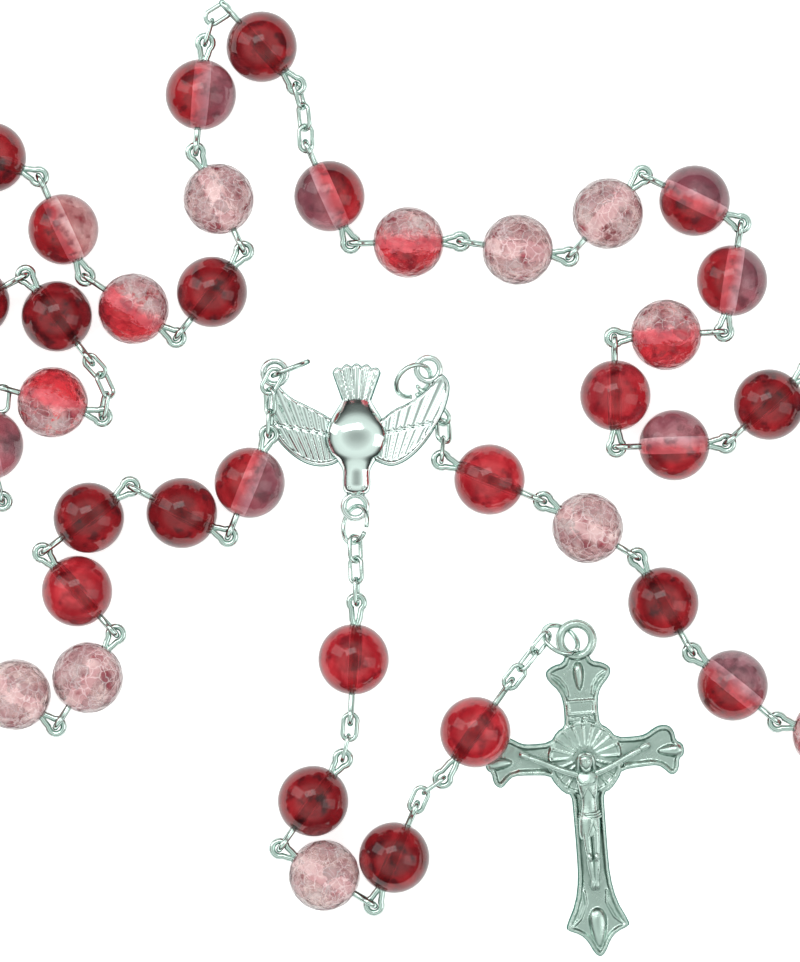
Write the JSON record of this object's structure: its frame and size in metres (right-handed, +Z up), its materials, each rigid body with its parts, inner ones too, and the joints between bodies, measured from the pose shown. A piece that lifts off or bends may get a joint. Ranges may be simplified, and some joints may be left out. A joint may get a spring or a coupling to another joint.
{
  "type": "rosary",
  "caption": "Rosary laid loosely on a table: glass beads on wire pins with hooked eyes, a dove centrepiece, short oval-link chains and a crucifix.",
  "frame": {"origin": "centre of the layout's box on the table, Z = 0 at the table", "axes": "+Z up from the table, +X across the dove's wings towards its left wing as it looks at the viewer, -Y towards the dove's head"},
  "size_m": [0.1816, 0.1208, 0.0079],
  "materials": {
    "cherry_glass": "glossy deep cherry red, partly smoky and clear, some beads crackled",
    "polished_silver": "polished silver with a cool tint",
    "antique_silver": "satin antique silver, darker in the recesses"
  },
  "bodies": {
    "dove_centrepiece": {"dove_centrepiece": "polished_silver"},
    "right_jump_ring": {"right_jump_ring": "polished_silver"},
    "right_chain": {"right_chain": "polished_silver"},
    "decade_1_bead_1": {"decade_1_bead_1": "cherry_glass"},
    "decade_1_bead_2": {"decade_1_bead_2": "cherry_glass"},
    "decade_1_bead_3": {"decade_1_bead_3": "cherry_glass"},
    "decade_1_bead_4": {"decade_1_bead_4": "cherry_glass"},
    "decade_1_beads_5_to_7": {"decade_1_beads_5_to_7": "cherry_glass"},
    "decade_1_beads_8_to_10": {"decade_1_beads_8_to_10": "cherry_glass"},
    "our_father_1_with_chains": {"our_father_1_with_chains": "cherry_glass"},
    "decade_2_bead_1": {"decade_2_bead_1": "cherry_glass"},
    "decade_2_bead_2": {"decade_2_bead_2": "cherry_glass"},
    "decade_2_bead_3": {"decade_2_bead_3": "cherry_glass"},
    "decade_2_bead_4": {"decade_2_bead_4": "cherry_glass"},
    "decade_2_bead_5": {"decade_2_bead_5": "cherry_glass"},
    "decade_2_bead_6": {"decade_2_bead_6": "cherry_glass"},
    "decade_2_bead_7": {"decade_2_bead_7": "cherry_glass"},
    "decade_2_bead_8": {"decade_2_bead_8": "cherry_glass"},
    "decade_2_bead_9": {"decade_2_bead_9": "cherry_glass"},
    "decade_2_bead_10": {"decade_2_bead_10": "cherry_glass"},
    "our_father_2_with_chains": {"our_father_2_with_chains": "cherry_glass"},
    "decade_3_bead_1": {"decade_3_bead_1": "cherry_glass"},
    "decade_3_bead_2": {"decade_3_bead_2": "cherry_glass"},
    "decade_3_bead_3": {"decade_3_bead_3": "cherry_glass"},
    "decade_3_bead_4": {"decade_3_bead_4": "cherry_glass"},
    "decade_3_bead_5": {"decade_3_bead_5": "cherry_glass"},
    "decade_3_beads_6_and_7": {"decade_3_beads_6_and_7": "cherry_glass"},
    "decade_3_beads_8_and_9": {"decade_3_beads_8_and_9": "cherry_glass"},
    "decade_3_bead_10": {"decade_3_bead_10": "cherry_glass"},
    "our_father_3_with_chains": {"our_father_3_with_chains": "cherry_glass"},
    "decade_4_beads_1_to_3": {"decade_4_beads_1_to_3": "cherry_glass"},
    "decade_4_beads_4_to_6": {"decade_4_beads_4_to_6": "cherry_glass"},
    "left_jump_ring": {"left_jump_ring": "polished_silver"},
    "left_chain": {"left_chain": "polished_silver"},
    "decade_5_bead_10": {"decade_5_bead_10": "cherry_glass"},
    "decade_5_bead_9": {"decade_5_bead_9": "cherry_glass"},
    "decade_5_bead_8": {"decade_5_bead_8": "cherry_glass"},
    "decade_5_bead_7": {"decade_5_bead_7": "cherry_glass"},
    "decade_5_bead_6": {"decade_5_bead_6": "cherry_glass"},
    "decade_5_bead_5": {"decade_5_bead_5": "cherry_glass"},
    "decade_5_beads_4_to_1": {"decade_5_beads_4_to_1": "cherry_glass"},
    "our_father_4_with_chains": {"our_father_4_with_chains": "cherry_glass"},
    "decade_4_beads_10_to_7": {"decade_4_beads_10_to_7": "cherry_glass"},
    "lower_jump_ring": {"lower_jump_ring": "polished_silver"},
    "pendant_chain_1": {"pendant_chain_1": "polished_silver"},
    "pendant_1_pin": {"pendant_1_pin": "polished_silver"},
    "pendant_1_bead": {"pendant_1_bead": "cherry_glass"},
    "pendant_chain_2": {"pendant_chain_2": "polished_silver"},
    "pendant_2_pin": {"pendant_2_pin": "polished_silver"},
    "pendant_2_bead": {"pendant_2_bead": "cherry_glass"},
    "pendant_3_pin": {"pendant_3_pin": "polished_silver"},
    "pendant_3_bead": {"pendant_3_bead": "cherry_glass"},
    "pendant_4_pin": {"pendant_4_pin": "polished_silver"},
    "pendant_4_bead": {"pendant_4_bead": "cherry_glass"},
    "pendant_chain_3": {"pendant_chain_3": "polished_silver"},
    "pendant_5_pin": {"pendant_5_pin": "polished_silver"},
    "pendant_5_bead": {"pendant_5_bead": "cherry_glass"},
    "pendant_chain_4": {"pendant_chain_4": "polished_silver"},
    "crucifix_jump_ring": {"crucifix_jump_ring": "polished_silver"},
    "crucifix": {"crucifix": "antique_silver"}
  },
  "joints": [
    {"name": "right_jump_ring_swing", "type": "hinge", "parent": "dove_centrepiece", "child": "right_jump_ring", "pos_m": [0.01546, 0.01876, 0.00255], "axis": [-0.6157, 0.788, 0], "range_deg": [-20, 15]},
    {"name": "right_chain_lift", "type": "hinge", "parent": "right_jump_ring", "child": "right_chain", "pos_m": [0.01546, 0.01748, 0.00129], "axis": [-0.7431, -0.6691, 0], "range_deg": [-30, 0]},
    {"name": "decade_1_bead_1_lift", "type": "hinge", "parent": "right_chain", "child": "decade_1_bead_1", "pos_m": [0.01801, 0.01009, 0.00407], "axis": [0.9962, -0.0872, 0], "range_deg": [-30, 30]},
    {"name": "decade_1_bead_2_lift", "type": "hinge", "parent": "decade_1_bead_1", "child": "decade_1_bead_2", "pos_m": [0.02862, 0.00513, 0.004], "axis": [0.3746, 0.9272, 0], "range_deg": [-30, 30]},
    {"name": "decade_1_bead_3_lift", "type": "hinge", "parent": "decade_1_bead_2", "child": "decade_1_bead_3", "pos_m": [0.03912, -0.00105, 0.004], "axis": [-0.515, -0.8572, 0], "range_deg": [-30, 30]},
    {"name": "decade_1_bead_4_lift", "type": "hinge", "parent": "decade_1_bead_3", "child": "decade_1_bead_4", "pos_m": [0.04547, -0.01137, 0.004], "axis": [-0.866, -0.5, 0], "range_deg": [-30, 30]},
    {"name": "decade_1_beads_5_to_7_lift", "type": "hinge", "parent": "decade_1_bead_4", "child": "decade_1_beads_5_to_7", "pos_m": [0.05476, -0.01922, 0.004], "axis": [0.6293, 0.7771, 0], "range_deg": [-30, 30]},
    {"name": "decade_1_beads_8_to_10_lift", "type": "hinge", "parent": "decade_1_beads_5_to_7", "child": "decade_1_beads_8_to_10", "pos_m": [0.08861, -0.02328, 0.004], "axis": [-0.4067, 0.9135, 0], "range_deg": [-30, 30]},
    {"name": "our_father_1_with_chains_lift", "type": "hinge", "parent": "decade_1_beads_8_to_10", "child": "our_father_1_with_chains", "pos_m": [0.06762, 0.00439, 0.004], "axis": [0.7314, 0.682, 0], "range_deg": [-30, 30]},
    {"name": "decade_2_bead_1_lift", "type": "hinge", "parent": "our_father_1_with_chains", "child": "decade_2_bead_1", "pos_m": [0.05895, 0.02002, 0.004], "axis": [-0.866, 0.5, 0], "range_deg": [-30, 30]},
    {"name": "decade_2_bead_2_lift", "type": "hinge", "parent": "decade_2_bead_1", "child": "decade_2_bead_2", "pos_m": [0.05008, 0.01176, 0.004], "axis": [0.6691, -0.7431, 0], "range_deg": [-30, 30]},
    {"name": "decade_2_bead_3_lift", "type": "hinge", "parent": "decade_2_bead_2", "child": "decade_2_bead_3", "pos_m": [0.03806, 0.01089, 0.004], "axis": [0.0349, -0.9994, 0], "range_deg": [-30, 30]},
    {"name": "decade_2_bead_4_lift", "type": "hinge", "parent": "decade_2_bead_3", "child": "decade_2_bead_4", "pos_m": [0.03716, 0.02236, 0.004], "axis": [0.9998, 0.0175, 0], "range_deg": [-30, 30]},
    {"name": "decade_2_bead_5_lift", "type": "hinge", "parent": "decade_2_bead_4", "child": "decade_2_bead_5", "pos_m": [0.04864, 0.02367, 0.004], "axis": [0.0523, -0.9986, 0], "range_deg": [-30, 30]},
    {"name": "decade_2_bead_6_lift", "type": "hinge", "parent": "decade_2_bead_5", "child": "decade_2_bead_6", "pos_m": [0.05113, 0.03506, 0.004], "axis": [-0.9877, 0.1564, 0], "range_deg": [-30, 30]},
    {"name": "decade_2_bead_7_lift", "type": "hinge", "parent": "decade_2_bead_6", "child": "decade_2_bead_7", "pos_m": [0.04091, 0.04079, 0.004], "axis": [-0.4384, -0.8988, 0], "range_deg": [-30, 30]},
    {"name": "decade_2_bead_8_lift", "type": "hinge", "parent": "decade_2_bead_7", "child": "decade_2_bead_8", "pos_m": [0.03258, 0.03256, 0.004], "axis": [-0.7431, 0.6691, 0], "range_deg": [-30, 30]},
    {"name": "decade_2_bead_9_lift", "type": "hinge", "parent": "decade_2_bead_8", "child": "decade_2_bead_9", "pos_m": [0.02073, 0.03363, 0.004], "axis": [0.1392, 0.9903, 0], "range_deg": [-30, 30]},
    {"name": "decade_2_bead_10_lift", "type": "hinge", "parent": "decade_2_bead_9", "child": "decade_2_bead_10", "pos_m": [0.00853, 0.03353, 0.004], "axis": [0.0175, -0.9998, 0], "range_deg": [-30, 30]},
    {"name": "our_father_2_with_chains_lift", "type": "hinge", "parent": "decade_2_bead_10", "child": "our_father_2_with_chains", "pos_m": [0.00316, 0.04403, 0.004], "axis": [-0.9135, -0.4067, 0], "range_deg": [-30, 30]},
    {"name": "decade_3_bead_1_lift", "type": "hinge", "parent": "our_father_2_with_chains", "child": "decade_3_bead_1", "pos_m": [-0.00811, 0.0564, 0.004], "axis": [-0.9563, 0.2924, 0], "range_deg": [-30, 30]},
    {"name": "decade_3_bead_2_lift", "type": "hinge", "parent": "decade_3_bead_1", "child": "decade_3_bead_2", "pos_m": [-0.0093, 0.04432, 0.004], "axis": [-0.9962, 0.0872, 0], "range_deg": [-30, 30]},
    {"name": "decade_3_bead_3_lift", "type": "hinge", "parent": "decade_3_bead_2", "child": "decade_3_bead_3", "pos_m": [-0.00432, 0.03329, 0.004], "axis": [0.8988, 0.4384, 0], "range_deg": [-30, 30]},
    {"name": "decade_3_bead_4_lift", "type": "hinge", "parent": "decade_3_bead_3", "child": "decade_3_bead_4", "pos_m": [-0.0111, 0.0236, 0.004], "axis": [0.788, -0.6157, 0], "range_deg": [-30, 30]},
    {"name": "decade_3_bead_5_lift", "type": "hinge", "parent": "decade_3_bead_4", "child": "decade_3_bead_5", "pos_m": [-0.02106, 0.02948, 0.004], "axis": [0.5592, 0.829, 0], "range_deg": [-30, 30]},
    {"name": "decade_3_beads_6_and_7_lift", "type": "hinge", "parent": "decade_3_bead_5", "child": "decade_3_beads_6_and_7", "pos_m": [-0.0265, 0.04029, 0.004], "axis": [0.9063, 0.4226, 0], "range_deg": [-30, 30]},
    {"name": "decade_3_beads_8_and_9_lift", "type": "hinge", "parent": "decade_3_beads_6_and_7", "child": "decade_3_beads_8_and_9", "pos_m": [-0.0442, 0.03574, 0.004], "axis": [0.848, -0.5299, 0], "range_deg": [-30, 30]},
    {"name": "decade_3_bead_10_lift", "type": "hinge", "parent": "decade_3_beads_8_and_9", "child": "decade_3_bead_10", "pos_m": [-0.02888, 0.02968, 0.004], "axis": [-0.4695, 0.8829, 0], "range_deg": [-30, 30]},
    {"name": "our_father_3_with_chains_lift", "type": "hinge", "parent": "decade_3_bead_10", "child": "our_father_3_with_chains", "pos_m": [-0.02134, 0.02082, 0.004], "axis": [-0.7986, -0.6018, 0], "range_deg": [-30, 30]},
    {"name": "decade_4_beads_1_to_3_lift", "type": "hinge", "parent": "our_father_3_with_chains", "child": "decade_4_beads_1_to_3", "pos_m": [-0.03322, 0.01648, 0.004], "axis": [0.342, 0.9397, 0], "range_deg": [-30, 30]},
    {"name": "decade_4_beads_4_to_6_lift", "type": "hinge", "parent": "decade_4_beads_1_to_3", "child": "decade_4_beads_4_to_6", "pos_m": [-0.05425, 0.00252, 0.004], "axis": [-0.0349, -0.9994, 0], "range_deg": [-30, 30]},
    {"name": "left_jump_ring_swing", "type": "hinge", "parent": "dove_centrepiece", "child": "left_jump_ring", "pos_m": [0.00049, 0.01935, 0.00255], "axis": [0.3746, -0.9272, 0], "range_deg": [-30, 0]},
    {"name": "left_chain_lift", "type": "hinge", "parent": "left_jump_ring", "child": "left_chain", "pos_m": [-0.00034, 0.01929, 0.00392], "axis": [-0.8829, 0.4695, 0], "range_deg": [0, 30]},
    {"name": "decade_5_bead_10_lift", "type": "hinge", "parent": "left_chain", "child": "decade_5_bead_10", "pos_m": [-0.00118, 0.01291, 0.00402], "axis": [0.9986, -0.0523, 0], "range_deg": [-30, 30]},
    {"name": "decade_5_bead_9_lift", "type": "hinge", "parent": "decade_5_bead_10", "child": "decade_5_bead_9", "pos_m": [-0.00552, 0.0016, 0.004], "axis": [0.9272, -0.3746, 0], "range_deg": [-30, 30]},
    {"name": "decade_5_bead_8_lift", "type": "hinge", "parent": "decade_5_bead_9", "child": "decade_5_bead_8", "pos_m": [-0.01603, 0.00617, 0.004], "axis": [0.454, 0.891, 0], "range_deg": [-30, 30]},
    {"name": "decade_5_bead_7_lift", "type": "hinge", "parent": "decade_5_bead_8", "child": "decade_5_bead_7", "pos_m": [-0.02584, -0.00043, 0.004], "axis": [-0.6018, 0.7986, 0], "range_deg": [-30, 30]},
    {"name": "decade_5_bead_6_lift", "type": "hinge", "parent": "decade_5_bead_7", "child": "decade_5_bead_6", "pos_m": [-0.0187, -0.0094, 0.004], "axis": [0.7431, 0.6691, 0], "range_deg": [-30, 30]},
    {"name": "decade_5_bead_5_lift", "type": "hinge", "parent": "decade_5_bead_6", "child": "decade_5_bead_5", "pos_m": [-0.0245, -0.01956, 0.004], "axis": [0.8387, -0.5446, 0], "range_deg": [-30, 30]},
    {"name": "decade_5_beads_4_to_1_lift", "type": "hinge", "parent": "decade_5_bead_5", "child": "decade_5_beads_4_to_1", "pos_m": [-0.03394, -0.01307, 0.004], "axis": [0.6157, 0.788, 0], "range_deg": [-30, 30]},
    {"name": "our_father_4_with_chains_lift", "type": "hinge", "parent": "decade_5_beads_4_to_1", "child": "our_father_4_with_chains", "pos_m": [-0.04867, -0.05534, 0.004], "axis": [-0.7193, 0.6947, 0], "range_deg": [-30, 30]},
    {"name": "decade_4_beads_10_to_7_lift", "type": "hinge", "parent": "our_father_4_with_chains", "child": "decade_4_beads_10_to_7", "pos_m": [-0.07367, -0.05707, 0.004], "axis": [-0.1564, -0.9877, 0], "range_deg": [-30, 30]},
    {"name": "lower_jump_ring_swing", "type": "hinge", "parent": "dove_centrepiece", "child": "lower_jump_ring", "pos_m": [0.00834, 0.00296, 0.002], "axis": [-1, 0, 0], "range_deg": [-25, 25]},
    {"name": "pendant_chain_1_lift", "type": "hinge", "parent": "lower_jump_ring", "child": "pendant_chain_1", "pos_m": [0.00834, 0.00079, 0.00313], "axis": [-1, 0, 0], "range_deg": [-30, 30]},
    {"name": "pendant_1_pin_lift", "type": "hinge", "parent": "pendant_chain_1", "child": "pendant_1_pin", "pos_m": [0.0085, -0.00576, 0.00387], "axis": [0.9998, 0.0175, 0], "range_deg": [-30, 30]},
    {"name": "pendant_1_bead_spin", "type": "hinge", "parent": "pendant_1_pin", "child": "pendant_1_bead", "pos_m": [0.00818, -0.0127, 0.004], "axis": [-0.0523, -0.9986, 0], "continuous": true},
    {"name": "pendant_chain_2_lift", "type": "hinge", "parent": "pendant_1_pin", "child": "pendant_chain_2", "pos_m": [0.00785, -0.01899, 0.004], "axis": [0.9986, -0.0523, 0], "range_deg": [-30, 30]},
    {"name": "pendant_2_pin_lift", "type": "hinge", "parent": "pendant_chain_2", "child": "pendant_2_pin", "pos_m": [0.00714, -0.02312, 0.004], "axis": [-0.9703, 0.2419, 0], "range_deg": [-30, 30]},
    {"name": "pendant_2_bead_spin", "type": "hinge", "parent": "pendant_2_pin", "child": "pendant_2_bead", "pos_m": [0.00368, -0.02846, 0.004], "axis": [-0.5736, -0.8192, 0], "continuous": true},
    {"name": "pendant_3_pin_lift", "type": "hinge", "parent": "pendant_2_pin", "child": "pendant_3_pin", "pos_m": [0.00039, -0.03317, 0.004], "axis": [-0.8192, 0.5736, 0], "range_deg": [-30, 30]},
    {"name": "pendant_3_bead_spin", "type": "hinge", "parent": "pendant_3_pin", "child": "pendant_3_bead", "pos_m": [0.00491, -0.0367, 0.004], "axis": [0.8572, -0.515, 0], "continuous": true},
    {"name": "pendant_4_pin_lift", "type": "hinge", "parent": "pendant_3_pin", "child": "pendant_4_pin", "pos_m": [0.00984, -0.03966, 0.004], "axis": [0.515, 0.8572, 0], "range_deg": [-30, 30]},
    {"name": "pendant_4_bead_spin", "type": "hinge", "parent": "pendant_4_pin", "child": "pendant_4_bead", "pos_m": [0.01269, -0.03473, 0.004], "axis": [0.3907, 0.9205, 0], "continuous": true},
    {"name": "pendant_chain_3_lift", "type": "hinge", "parent": "pendant_4_pin", "child": "pendant_chain_3", "pos_m": [0.01494, -0.02944, 0.004], "axis": [-0.9205, 0.3907, 0], "range_deg": [-30, 30]},
    {"name": "pendant_5_pin_lift", "type": "hinge", "parent": "pendant_chain_3", "child": "pendant_5_pin", "pos_m": [0.01758, -0.02634, 0.004], "axis": [0.6018, -0.7986, 0], "range_deg": [-30, 30]},
    {"name": "pendant_5_bead_spin", "type": "hinge", "parent": "pendant_5_pin", "child": "pendant_5_bead", "pos_m": [0.02171, -0.02079, 0.004], "axis": [0.5736, 0.8192, 0], "continuous": true},
    {"name": "pendant_chain_4_lift", "type": "hinge", "parent": "pendant_5_pin", "child": "pendant_chain_4", "pos_m": [0.02532, -0.01563, 0.004], "axis": [0.8192, -0.5736, 0], "range_deg": [0, 15]},
    {"name": "crucifix_jump_ring_swing", "type": "hinge", "parent": "pendant_chain_4", "child": "crucifix_jump_ring", "pos_m": [0.02935, -0.01048, 0.00325], "axis": [-0.7771, 0.6293, 0], "range_deg": [-20, 0]},
    {"name": "crucifix_turn", "type": "hinge", "parent": "crucifix_jump_ring", "child": "crucifix", "pos_m": [0.03309, -0.01069, 0.00125], "axis": [0, 0, 1], "range_deg": [0, 10]}
  ]
}
